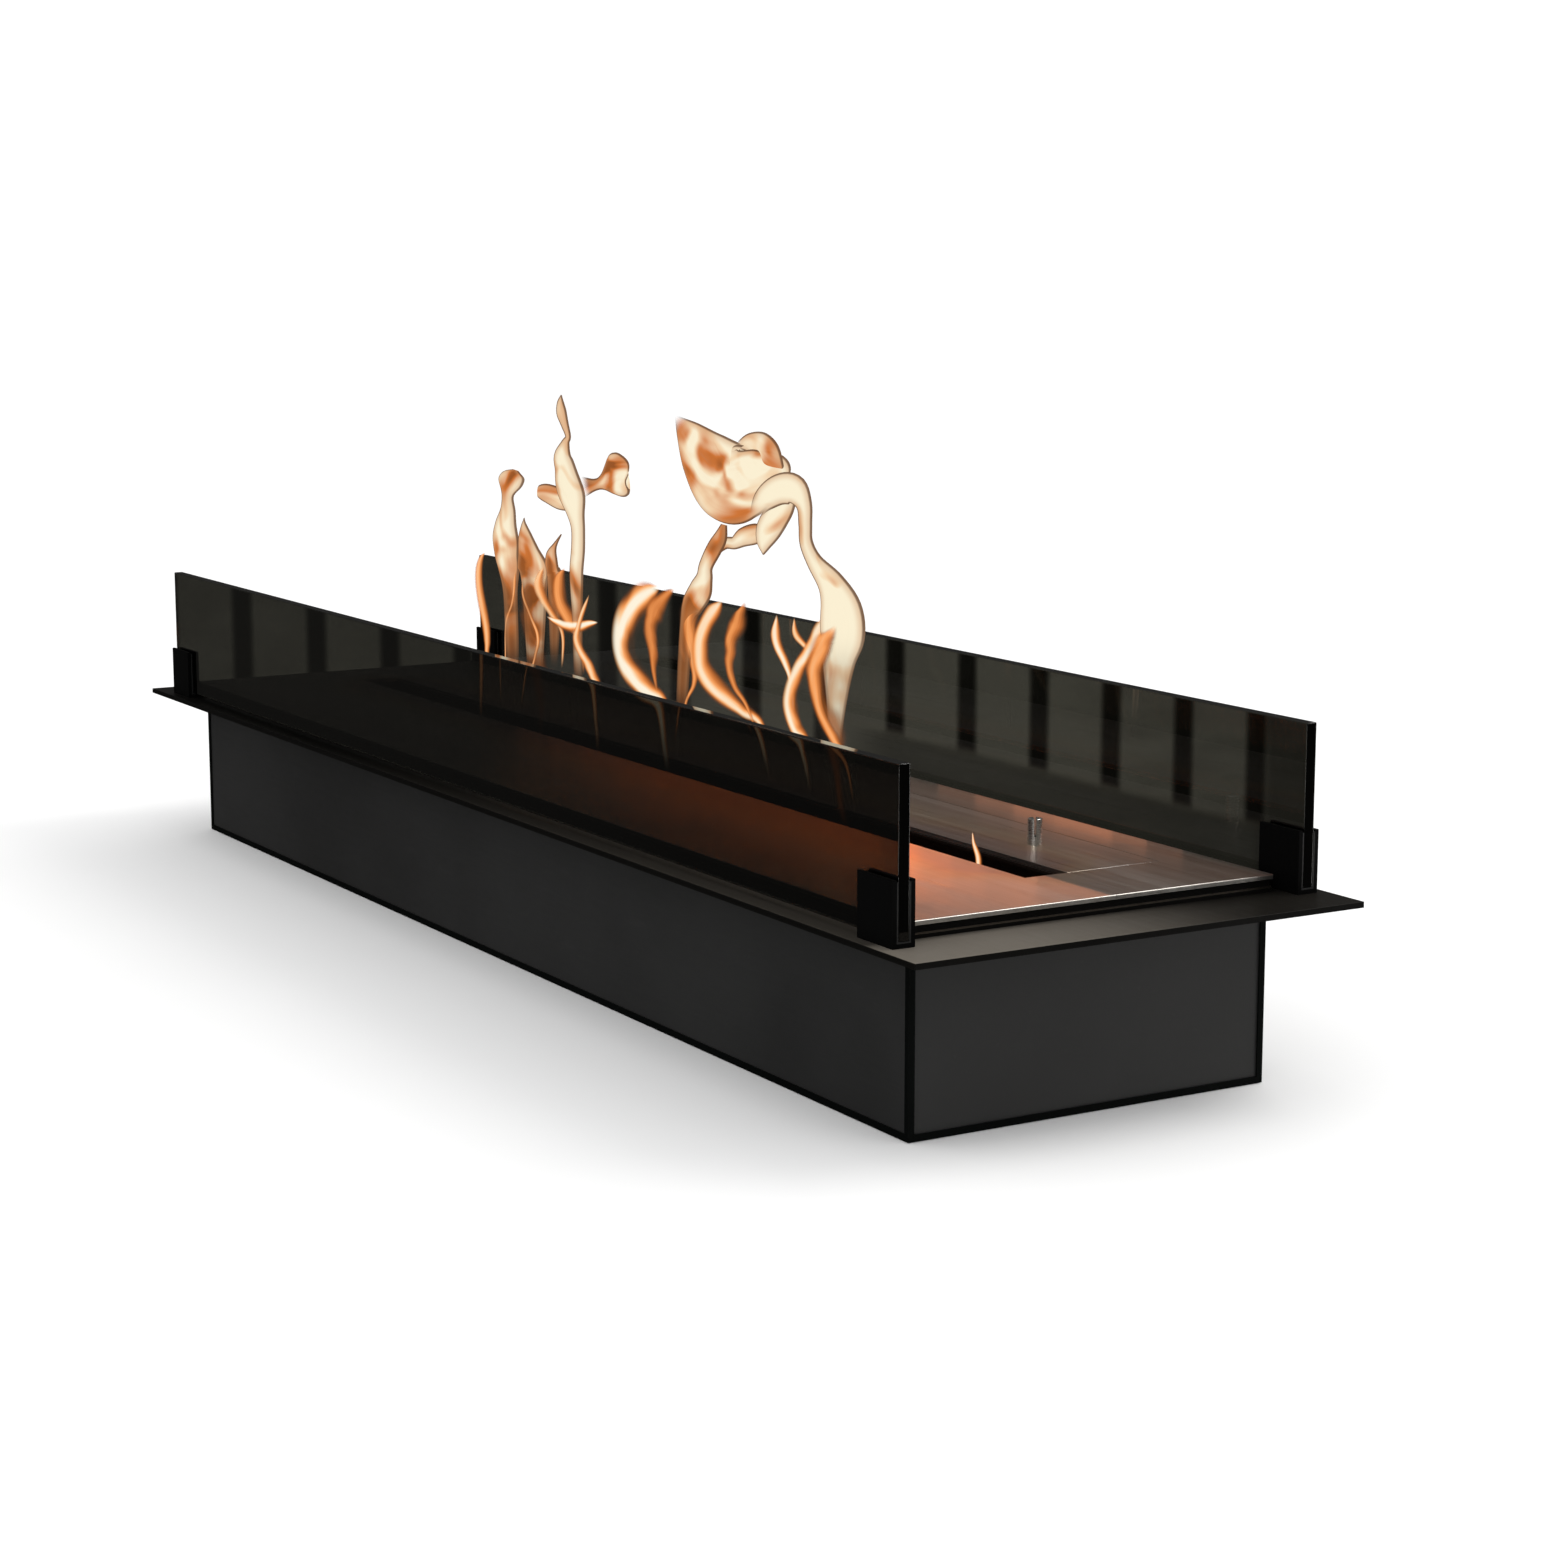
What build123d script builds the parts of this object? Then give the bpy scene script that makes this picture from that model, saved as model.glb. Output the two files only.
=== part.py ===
"""Built-in ribbon-burner fireplace insert.

Millimetres, +Z up. The origin is the middle of the casing's underside. +X runs along the length
towards the shutter's stud, and the slot lies on the -Y side of the deck's cut-out.
Each section below makes one group of pieces; the last line writes one STEP file per piece.
"""

from build123d import *
import os

# ---------------------------------------------------------------- overall sizes
case_length = 1200.0
case_width = 276.0
case_height = 124.0
flange_overhang_end = 57.0
flange_overhang_side = 33.0
flange_thickness = 4.0
glass_height = 108.0
glass_thickness = 8.0

# ---------------------------------------------------------------- casing
case_sheet = 2.0
case_lip_width = 16.0
edge_leg = 4.5
edge_sheet = 1.0
flange_edge_round = 0.5

# ---------------------------------------------------------------- deck and its dark rim
collar_height = 2.5
collar_inset = 1.0
tray_sheet = 1.2
frame_height = 4.8
frame_bar_width = 12.0
frame_inset = 2.0
deck_margin = 3.0
deck_thickness = 3.0
deck_edge_round = 0.8

# ---------------------------------------------------------------- slot and shutter
slot_end_border = 72.0
cutout_back_border = 38.0
slot_width = 34.0
shutter_width = 74.0
shutter_gap = 0.5
shutter_lift = 0.2
bed_sheet = 2.0
bed_ledge = 2.0
bed_border = 10.0
guide_end_inset = 51.0
guide_far_inset = 10.5
knob_end_inset = 90.0
knob_diameter = 10.0
knob_height = 18.0
knob_slot_width = 1.6
knob_slot_depth = 12.0
knob_slot_angle = -31.0

# ---------------------------------------------------------------- tanks, wool and boards
tank_sheet = 1.5
tank_width = 60.0
tank_lip_width = 5.0
tank_end_margin = 2.0
tank_floor_gap = 5.0
wool_blocks = 5
wool_gap = 0.5
mesh_sheet = 1.0
mesh_below_deck = 20.0
mesh_slot_length = 22.0
mesh_slot_width = 5.0
mesh_slot_pitch = 30.0
mesh_rows = 3
tray_side_gap = 3.0
bearer_count = 3
bearer_height = 53.0
bearer_top_width = 40.0
bearer_foot_width = 20.0
bearer_sheet = 2.0
board_thickness = 10.0
board_gap = 0.3
board_top_gap = 5.0

# ---------------------------------------------------------------- glass holders
glass_end_inset = 37.0
glass_side_inset = 12.0
glass_edge_round = 0.8
holder_length = 40.0
holder_height = 42.0
holder_jaw = 3.0
holder_base = 3.0
holder_edge_round = 0.6
liner_thickness = 1.0
liner_below_top = 1.5

# ---------------------------------------------------------------- fasteners
m4 = 4.0
m5 = 5.0
m4_flats = 7.0
m5_flats = 8.0
nut_height = 4.0
washer_height = 1.0
clearance_hole = 0.5
thread_play = 0.1
csk_head = 8.0
pin_diameter = 5.0
pin_play = 0.2
pin_reach = 3.0
flange_stud_length = 12.0
flange_studs_per_side = 5
flange_stud_end_offset = 60.0
bearer_stud_length = 14.0
bearer_stud_inset = 24.4
guide_stud_length = 8.0
holder_screw_offset = 11.0

# ---------------------------------------------------------------- heights of the stack
floor_top = edge_sheet + case_sheet
flange_bottom = case_height
flange_top = flange_bottom + flange_thickness
collar_top = flange_top + collar_height
tray_top = collar_top + tray_sheet
frame_top = tray_top + frame_height
deck_top = frame_top + deck_thickness
bed_bottom = frame_top - bed_sheet
tray_bottom = floor_top + bearer_height
board_top = flange_bottom - flange_stud_length - board_top_gap
tank_top = bed_bottom
tank_bottom = tray_bottom + tray_sheet + tank_floor_gap
mesh_top = deck_top - mesh_below_deck
wool_bottom = tank_bottom + tank_sheet
wool_top = mesh_top - mesh_sheet

# ---------------------------------------------------------------- plan sizes
flange_length = case_length + 2 * flange_overhang_end
flange_width = case_width + 2 * flange_overhang_side
tub_length = case_length - 2 * edge_sheet
tub_width = case_width - 2 * edge_sheet
inner_length = tub_length - 2 * case_sheet
inner_width = tub_width - 2 * case_sheet
opening_length = inner_length - 2 * case_lip_width
opening_width = inner_width - 2 * case_lip_width
deck_length = case_length + 2 * deck_margin
deck_width = case_width + 2 * deck_margin
tray_length = opening_length - 2 * tray_side_gap
tray_width = opening_width - 2 * tray_side_gap
slot_half = deck_length / 2 - slot_end_border
cutout_far_side = deck_width / 2 - cutout_back_border
slot_far_side = cutout_far_side - shutter_width
slot_near_side = slot_far_side - slot_width
slot_middle = (slot_near_side + slot_far_side) / 2
shutter_travel = slot_width - shutter_gap
knob_x = slot_half - knob_end_inset
knob_y = slot_far_side + shutter_width / 2
guide_x = slot_half - guide_end_inset
guide_y = cutout_far_side - guide_far_inset
guide_hole = m4 + 2 * clearance_hole
tank_length = 2 * (slot_half + tank_end_margin)
tank_near_side = slot_middle - tank_width / 2
tank_far_side = slot_middle + tank_width / 2
glass_length = flange_length - 2 * glass_end_inset
glass_outer_y = flange_width / 2 - glass_side_inset
glass_middle_y = glass_outer_y - glass_thickness / 2
glass_bottom = flange_top + holder_base + liner_thickness
holder_depth = glass_thickness + 2 * (liner_thickness + holder_jaw)
holder_x = glass_length / 2 - holder_length / 2
stud_rows_y = inner_width / 2 - case_lip_width / 2
stud_rows_x = inner_length / 2 - case_lip_width / 2
pin_x = deck_length / 2 - frame_inset - frame_bar_width / 2
pin_y = deck_width / 2 - frame_inset - frame_bar_width / 2
ends = (("left", -1), ("right", 1))
sides = (("front", -1), ("back", 1))
parts = {}


# ---------------------------------------------------------------- shape helpers
def block(x0, x1, y0, y1, z0, z1):
    """A box between two corners."""
    middle = ((x0 + x1) / 2, (y0 + y1) / 2, (z0 + z1) / 2)
    return Pos(*middle) * Box(x1 - x0, y1 - y0, z1 - z0)


def centred(length, width, z0, z1):
    """A box centred on the Z axis."""
    return block(-length / 2, length / 2, -width / 2, width / 2, z0, z1)


def rod(x, y, z0, z1, diameter):
    """An upright cylinder."""
    return Pos(x, y, (z0 + z1) / 2) * Cylinder(diameter / 2, z1 - z0)


def ring_plate(x, y, z0, z1, outer, inner):
    """A washer."""
    return rod(x, y, z0, z1, outer) - rod(x, y, z0, z1, inner)


def hex_nut(x, y, z0, flats, bore):
    """A hexagon nut standing on z0."""
    hexagon = RegularPolygon(flats / 2, 6, major_radius=False)
    body = Pos(x, y, z0) * extrude(hexagon, nut_height)
    return body - rod(x, y, z0, z0 + nut_height, bore)


def upright_edges(shape):
    """The edges that run along Z."""
    return shape.edges().filter_by(Axis.Z)


def open_box(x_half, y0, y1, z0, z1, sheet):
    """The floor and the four walls of a welded tank, each a flat sheet."""
    panels = [block(-x_half, x_half, y0, y1, z0, z0 + sheet)]
    for y in (y0, y1 - sheet):
        panels.append(block(-x_half, x_half, y, y + sheet, z0 + sheet, z1))
    for x in (-x_half, x_half - sheet):
        panels.append(block(x, x + sheet, y0 + sheet, y1 - sheet, z0 + sheet, z1))
    return panels


def lip_strips(x_out, x_in, y_out0, y_out1, y_in0, y_in1, z0, z1):
    """A flat rectangular lip, as the four strips that it is welded from."""
    return [
        block(-x_out, x_out, y_out0, y_in0, z0, z1),
        block(-x_out, x_out, y_in1, y_out1, z0, z1),
        block(-x_out, -x_in, y_in0, y_in1, z0, z1),
        block(x_in, x_out, y_in0, y_in1, z0, z1),
    ]


def drilled(pieces, places, z0, z1, diameter):
    """The pieces with an upright hole through them at each place."""
    drills = [rod(x, y, z0, z1, diameter) for x, y in places]
    return [piece - drills for piece in pieces]


def even_places(count, half):
    """Places spread evenly over a length, each in the middle of its own share."""
    return [half * (2 * i + 1 - count) / count for i in range(count)]


def group(pieces):
    """Like pieces that share one file and stay separate solids."""
    return Compound(children=list(pieces))


# ---------------------------------------------------------------- casing
def flange_stud_places():
    """Stud places along the casing's lip: both long sides, then both ends."""
    places = []
    for _, side in sides:
        for x in even_places(flange_studs_per_side, opening_length / 2):
            places.append((x, side * stud_rows_y))
    for _, end in ends:
        for y in (-flange_stud_end_offset, flange_stud_end_offset):
            places.append((end * stud_rows_x, y))
    return places


def make_casing():
    """Tub, its edge angles, the flange and what joins them."""
    under_lip = flange_bottom - case_sheet
    places = flange_stud_places()
    half_x, half_y = tub_length / 2, tub_width / 2
    in_x, in_y = opening_length / 2, opening_width / 2
    tub = open_box(half_x, -half_y, half_y, edge_sheet, under_lip, case_sheet)
    lip = lip_strips(half_x, in_x, -half_y, half_y, -in_y, in_y, under_lip, flange_bottom)
    tub += drilled(lip, places, under_lip - 1, flange_bottom + 1, m5 + clearance_hole)
    parts["casing_tub"] = group(tub)

    shell = centred(case_length, case_width, 0, flange_bottom)
    shell -= centred(tub_length, tub_width, edge_sheet, flange_bottom + 1)
    open_length = case_length - 2 * edge_leg
    open_width = case_width - 2 * edge_leg
    shell -= centred(open_length, open_width, -1, flange_bottom)
    high_z = flange_bottom - edge_leg
    whole_end = centred(case_length, open_width, 0, flange_bottom)
    whole_side = centred(open_length, case_width, 0, flange_bottom)
    for piece, z0, z1 in (("bottom", 0, edge_leg), ("top", high_z, flange_bottom)):
        ring = shell & centred(case_length, case_width, z0, z1)
        bars = (ring - whole_end).solids() + (ring & whole_end).solids()
        parts[f"{piece}_edge_angles"] = group(bars)
    posts = shell & centred(case_length, case_width, edge_leg, high_z)
    posts -= [whole_end, whole_side]
    parts["corner_angles"] = group(posts.solids())

    flange = centred(flange_length, flange_width, flange_bottom, flange_top)
    flange = fillet(upright_edges(flange), flange_edge_round)
    flange = fillet(flange.faces().sort_by(Axis.Z)[-1].edges(), flange_edge_round)
    flange -= centred(opening_length, opening_width, flange_bottom - 1, flange_top + 1)
    for x, y in holder_screw_places():
        flange -= rod(x, y, flange_bottom - 1, flange_top + 1, m4 + clearance_hole)
        flange -= countersink(x, y, flange_bottom, csk_head + clearance_hole)
    parts["top_flange"] = flange

    nut_top = under_lip - washer_height
    parts["flange_studs"] = group(
        rod(x, y, flange_bottom - flange_stud_length, flange_bottom, m5) for x, y in places
    )
    parts["flange_washers"] = group(
        ring_plate(x, y, nut_top, under_lip, 2 * m5, m5 + clearance_hole) for x, y in places
    )
    parts["flange_nuts"] = group(
        hex_nut(x, y, nut_top - nut_height, m5_flats, m5 + thread_play) for x, y in places
    )


# ---------------------------------------------------------------- glass and its holders
def holder_screw_places():
    """Two screws under each of the four holders."""
    places = []
    for _, end in ends:
        for _, side in sides:
            for offset in (-holder_screw_offset, holder_screw_offset):
                places.append((end * holder_x + offset, side * glass_middle_y))
    return places


def countersink(x, y, z, head):
    """A cone that opens downwards at height z, as deep as a countersunk head."""
    depth = (head - m4) / 2
    return Pos(x, y, z + depth / 2) * Cone(head / 2, m4 / 2, depth)


def channel(x0, x1, y_middle, half, wall, z0, z1, floor):
    """A U-shaped channel along X, open at the top."""
    outside = block(x0, x1, y_middle - half, y_middle + half, z0, z1)
    inner = half - wall
    return outside - block(x0 - 1, x1 + 1, y_middle - inner, y_middle + inner, z0 + floor, z1 + 1)


def make_glass():
    """Two panes, four holders, their liners and screws."""
    half = holder_depth / 2
    for side_name, side in sides:
        y = side * glass_middle_y
        pane = Pos(0, y, glass_bottom + glass_height / 2) * Box(
            glass_length, glass_thickness, glass_height
        )
        parts[f"glass_pane_{side_name}"] = fillet(pane.edges(), glass_edge_round)
        for end_name, end in ends:
            x0 = end * holder_x - holder_length / 2
            x1 = end * holder_x + holder_length / 2
            top = flange_top + holder_height
            holder = channel(x0, x1, y, half, holder_jaw, flange_top, top, holder_base)
            rims = holder.edges().filter_by_position(Axis.Z, top - 1, top + 1)
            holder = fillet(rims.filter_by(Axis.X), holder_edge_round)
            for offset in (-holder_screw_offset, holder_screw_offset):
                x = end * holder_x + offset
                holder -= rod(x, y, flange_top - 1, flange_top + holder_base + 1, m4 + thread_play)
            parts[f"glass_holder_{side_name}_{end_name}"] = holder
            liner_floor = flange_top + holder_base
            parts[f"glass_liner_{side_name}_{end_name}"] = channel(
                x0,
                x1,
                y,
                half - holder_jaw,
                liner_thickness,
                liner_floor,
                top - liner_below_top,
                liner_thickness,
            )
    screws = []
    for x, y in holder_screw_places():
        shank = rod(x, y, flange_bottom, flange_top + holder_base - thread_play, m4)
        screws.append(shank + countersink(x, y, flange_bottom, csk_head))
    parts["holder_screws"] = group(screws)


# ---------------------------------------------------------------- burner rim and deck
def ring_frame(length, width, hole_length, hole_width, z0, z1):
    """A flat rectangular ring."""
    return centred(length, width, z0, z1) - centred(hole_length, hole_width, z0 - 1, z1 + 1)


def make_deck():
    """Collar, spill tray with its lip, deck frame, locating pins and deck."""
    pin_hole = pin_diameter + 2 * pin_play
    pins = [(ex * pin_x, sy * pin_y) for _, ex in ends for _, sy in sides]
    rim_length = deck_length - 2 * collar_inset
    rim_width = deck_width - 2 * collar_inset

    collar = ring_frame(
        rim_length, rim_width, opening_length, opening_width, flange_top, collar_top
    )
    half_x, half_y = tray_length / 2, tray_width / 2
    in_x, in_y = half_x - tray_sheet, half_y - tray_sheet
    out_x, out_y = rim_length / 2, rim_width / 2
    tray = open_box(half_x, -half_y, half_y, tray_bottom, collar_top, tray_sheet)
    lip = lip_strips(out_x, in_x, -out_y, out_y, -in_y, in_y, collar_top, tray_top)
    tray += drilled(lip, pins, collar_top - 1, tray_top + 1, pin_hole)
    frame_length = deck_length - 2 * frame_inset
    frame_width = deck_width - 2 * frame_inset
    frame = ring_frame(
        frame_length,
        frame_width,
        frame_length - 2 * frame_bar_width,
        frame_width - 2 * frame_bar_width,
        tray_top,
        frame_top,
    )
    pin_shapes = []
    for x, y in pins:
        collar -= rod(x, y, flange_top - 1, collar_top + 1, pin_hole)
        frame -= rod(x, y, tray_top - 1, tray_top + pin_reach + pin_play, pin_hole)
        pin_shapes.append(rod(x, y, flange_top, tray_top + pin_reach, pin_diameter))
    parts["deck_collar"] = collar
    parts["spill_tray"] = group(tray)
    parts["deck_frame"] = frame
    parts["locating_pins"] = group(pin_shapes)

    deck = centred(deck_length, deck_width, frame_top, deck_top)
    deck = fillet(upright_edges(deck), deck_edge_round)
    deck = fillet(deck.faces().sort_by(Axis.Z)[-1].edges(), deck_edge_round)
    deck -= block(
        -slot_half, slot_half, slot_near_side, cutout_far_side, frame_top - 1, deck_top + 1
    )
    parts["burner_deck"] = deck


# ---------------------------------------------------------------- shutter and its bed
def make_shutter():
    """The bed under the cut-out, and the plate that slides on it with its stud and guides."""
    bed = block(
        -slot_half - bed_border,
        slot_half + bed_border,
        tank_near_side - tank_lip_width - bed_ledge,
        cutout_far_side + bed_border,
        bed_bottom,
        frame_top,
    )
    bed -= block(
        -slot_half + bed_ledge,
        slot_half - bed_ledge,
        slot_near_side + bed_ledge,
        slot_far_side - bed_ledge,
        bed_bottom - 1,
        frame_top + 1,
    )
    for _, end in ends:
        y0 = guide_y - shutter_travel
        middle = Pos(end * guide_x, (y0 + guide_y) / 2, bed_bottom - 1)
        run = Rot(0, 0, 90) * SlotCenterToCenter(guide_y - y0, guide_hole)
        bed -= middle * extrude(run, bed_sheet + 2)
    parts["shutter_bed"] = bed

    under = frame_top + shutter_lift
    plate = block(
        -slot_half + shutter_gap,
        slot_half - shutter_gap,
        slot_far_side,
        cutout_far_side - shutter_gap,
        under,
        deck_top,
    )
    plate = fillet(plate.faces().sort_by(Axis.Z)[-1].edges(), shutter_gap / 2)
    plate -= rod(knob_x, knob_y, under - 1, deck_top + 1, m4 + 2 * thread_play)
    plate -= countersink(knob_x, knob_y, under, csk_head + 2 * thread_play)
    parts["shutter_plate"] = plate

    knob = rod(knob_x, knob_y, deck_top, deck_top + knob_height, knob_diameter)
    knob = chamfer(knob.faces().sort_by(Axis.Z)[-1].edges(), 2 * thread_play)
    groove = Box(knob_diameter * 2, knob_slot_width, knob_slot_depth * 2)
    knob -= Pos(knob_x, knob_y, deck_top + knob_height) * Rot(0, 0, knob_slot_angle) * groove
    screw_top = deck_top + (knob_height - knob_slot_depth) - 2 * thread_play
    knob -= rod(knob_x, knob_y, deck_top - 1, screw_top + thread_play, m4 + thread_play)
    parts["shutter_stud"] = knob
    screw = rod(knob_x, knob_y, under, screw_top, m4)
    parts["stud_screw"] = screw + countersink(knob_x, knob_y, under, csk_head)

    places = [(end * guide_x, guide_y) for _, end in ends]
    washer_top = bed_bottom - shutter_lift
    nut_top = washer_top - washer_height
    parts["guide_studs"] = group(
        rod(x, y, under - guide_stud_length, under, m4) for x, y in places
    )
    parts["guide_washers"] = group(
        ring_plate(x, y, nut_top, washer_top, 2 * m4, m4 + clearance_hole) for x, y in places
    )
    parts["guide_nuts"] = group(
        hex_nut(x, y, nut_top - nut_height, m4_flats, m4 + thread_play) for x, y in places
    )


# ---------------------------------------------------------------- fuel tank and wool
def make_tank():
    """The inner tank under the slot, its wool blocks and the perforated plate on them."""
    half = tank_length / 2
    lip_bottom = tank_top - tank_sheet
    tank = open_box(half, tank_near_side, tank_far_side, tank_bottom, lip_bottom, tank_sheet)
    tank += lip_strips(
        half + tank_lip_width,
        half - tank_sheet,
        tank_near_side - tank_lip_width,
        tank_far_side + tank_lip_width,
        tank_near_side + tank_sheet,
        tank_far_side - tank_sheet,
        lip_bottom,
        tank_top,
    )
    parts["fuel_tank"] = group(tank)

    x_half = half - tank_sheet - wool_gap
    y0 = tank_near_side + tank_sheet + wool_gap
    y1 = tank_far_side - tank_sheet - wool_gap
    share = 2 * x_half / wool_blocks
    for number, x in enumerate(even_places(wool_blocks, x_half), start=1):
        block_half = (share - wool_gap) / 2
        wool = block(x - block_half, x + block_half, y0, y1, wool_bottom, wool_top)
        parts[f"wool_block_{number}"] = wool

    plate = block(-x_half, x_half, y0, y1, wool_top, mesh_top)
    columns = int(2 * x_half // mesh_slot_pitch)
    cutter = extrude(SlotOverall(mesh_slot_length, mesh_slot_width), mesh_sheet + 2)
    cutters = []
    for x in even_places(columns, x_half):
        for y in even_places(mesh_rows, (y1 - y0) / 2):
            cutters.append(Pos(x, (y0 + y1) / 2 + y, wool_top - 1) * cutter)
    parts["wool_plate"] = plate - cutters


# ---------------------------------------------------------------- bearers and boards
def make_bearers():
    """Cross bearers under the spill tray, and the insulation boards of the casing."""
    half_y = inner_width / 2 - board_thickness - 2 * board_gap
    foot_half = bearer_top_width / 2 + bearer_foot_width
    top_half = bearer_top_width / 2
    places = even_places(bearer_count, inner_length / 2)
    stud_x = top_half + bearer_foot_width / 2
    stud_y = half_y - bearer_stud_inset
    studs, washers, nuts = [], [], []
    foot_top = floor_top + bearer_sheet
    for number, x in enumerate(places, start=1):
        hat = block(x - foot_half, x + foot_half, -half_y, half_y, floor_top, foot_top)
        hat += block(x - top_half, x + top_half, -half_y, half_y, floor_top, tray_bottom)
        hat -= block(
            x - top_half + bearer_sheet,
            x + top_half - bearer_sheet,
            -half_y - 1,
            half_y + 1,
            floor_top - 1,
            tray_bottom - bearer_sheet,
        )
        for dx in (-stud_x, stud_x):
            for dy in (-stud_y, stud_y):
                hat -= rod(x + dx, dy, floor_top - 1, foot_top + 1, m5 + clearance_hole)
                studs.append(rod(x + dx, dy, floor_top, floor_top + bearer_stud_length, m5))
                nut_z = foot_top + washer_height
                washers.append(
                    ring_plate(x + dx, dy, foot_top, nut_z, 2 * m5, m5 + clearance_hole)
                )
                nuts.append(hex_nut(x + dx, dy, nut_z, m5_flats, m5 + thread_play))
        parts[f"cross_bearer_{number}"] = hat
    parts["bearer_studs"] = group(studs)
    parts["bearer_washers"] = group(washers)
    parts["bearer_nuts"] = group(nuts)

    end_inner = inner_length / 2 - board_thickness - 2 * board_gap
    starts = [-end_inner] + [x + foot_half + board_gap for x in places]
    stops = [x - foot_half - board_gap for x in places] + [end_inner]
    for number, (x0, x1) in enumerate(zip(starts, stops), start=1):
        parts[f"floor_board_{number}"] = block(
            x0, x1, -half_y, half_y, floor_top, floor_top + board_thickness
        )
    y1 = inner_width / 2 - board_gap
    for side_name, side in sides:
        parts[f"side_board_{side_name}"] = Pos(0, side * (y1 - board_thickness / 2)) * block(
            -inner_length / 2 + board_gap,
            inner_length / 2 - board_gap,
            -board_thickness / 2,
            board_thickness / 2,
            floor_top,
            board_top,
        )
    x1 = inner_length / 2 - board_gap
    for end_name, end in ends:
        parts[f"end_board_{end_name}"] = Pos(end * (x1 - board_thickness / 2)) * block(
            -board_thickness / 2, board_thickness / 2, -half_y, half_y, floor_top, board_top
        )


make_casing()
make_glass()
make_deck()
make_shutter()
make_tank()
make_bearers()

os.makedirs("parts", exist_ok=True)
for name, shape in parts.items():
    export_step(shape, f"parts/{name}.step")
print(len(parts), "pieces; shutter travel", shutter_travel, "mm; deck top at", deck_top, "mm")
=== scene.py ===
"""Finishes, flames and studio for the built-in ribbon-burner fireplace.

The file is laid out as an add-on and run as a script. Lengths are metres, in the frame of the CAD
model: +X along the length, +Y across towards the shutter, +Z up, origin under the casing.
"""

import math

import bpy
import numpy as np
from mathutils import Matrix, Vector


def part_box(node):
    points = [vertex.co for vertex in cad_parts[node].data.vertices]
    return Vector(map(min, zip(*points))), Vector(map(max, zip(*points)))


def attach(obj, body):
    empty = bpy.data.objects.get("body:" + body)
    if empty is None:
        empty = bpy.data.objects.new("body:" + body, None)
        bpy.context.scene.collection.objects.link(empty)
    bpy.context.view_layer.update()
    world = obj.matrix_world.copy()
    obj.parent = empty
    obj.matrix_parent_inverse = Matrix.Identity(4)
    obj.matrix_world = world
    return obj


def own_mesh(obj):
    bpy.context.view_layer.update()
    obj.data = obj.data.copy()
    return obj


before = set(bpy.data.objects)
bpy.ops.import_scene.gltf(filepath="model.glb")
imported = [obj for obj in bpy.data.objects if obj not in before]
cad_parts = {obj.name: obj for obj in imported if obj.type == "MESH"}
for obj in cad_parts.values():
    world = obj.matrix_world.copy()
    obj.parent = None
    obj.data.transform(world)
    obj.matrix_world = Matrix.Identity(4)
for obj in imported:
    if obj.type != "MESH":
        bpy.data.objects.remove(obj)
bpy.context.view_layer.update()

bl_info = {
    "name": "Ribbon burner fireplace",
    "version": (1, 0, 0),
    "blender": (4, 5, 0),
    "location": "3D View > Sidebar > Fireplace",
    "description": "Finishes, flames and studio for a built-in ribbon-burner fireplace",
    "category": "Add Mesh",
}

PLATE_LOW, PLATE_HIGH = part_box("shutter_plate")
DECK_LOW, DECK_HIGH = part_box("burner_deck")
WOOL_LOW, WOOL_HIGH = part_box("wool_plate")
FULL_TURN = 2 * math.pi
# Half the width of the slot beside the shutter plate.
SLOT_HALF = 0.017


# ------------------------------------------------------------------ shader maths
class Wire:
    """A shader socket that can be used in arithmetic; every step adds a Math node."""

    def __init__(self, graph, socket):
        """Keeps the socket and the graph that new nodes go into."""
        self.graph = graph
        self.socket = socket

    def _math(self, operation, first, second=0.0):
        """Adds one Math node."""
        return self.graph.node("ShaderNodeMath", {"operation": operation}, {0: first, 1: second})

    def __add__(self, other):
        return self._math("ADD", self, other)

    __radd__ = __add__

    def __sub__(self, other):
        return self._math("SUBTRACT", self, other)

    def __rsub__(self, other):
        return self._math("SUBTRACT", other, self)

    def __mul__(self, other):
        return self._math("MULTIPLY", self, other)

    __rmul__ = __mul__

    def __truediv__(self, other):
        return self._math("DIVIDE", self, other)

    def __abs__(self):
        return self._math("ABSOLUTE", self)


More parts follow.
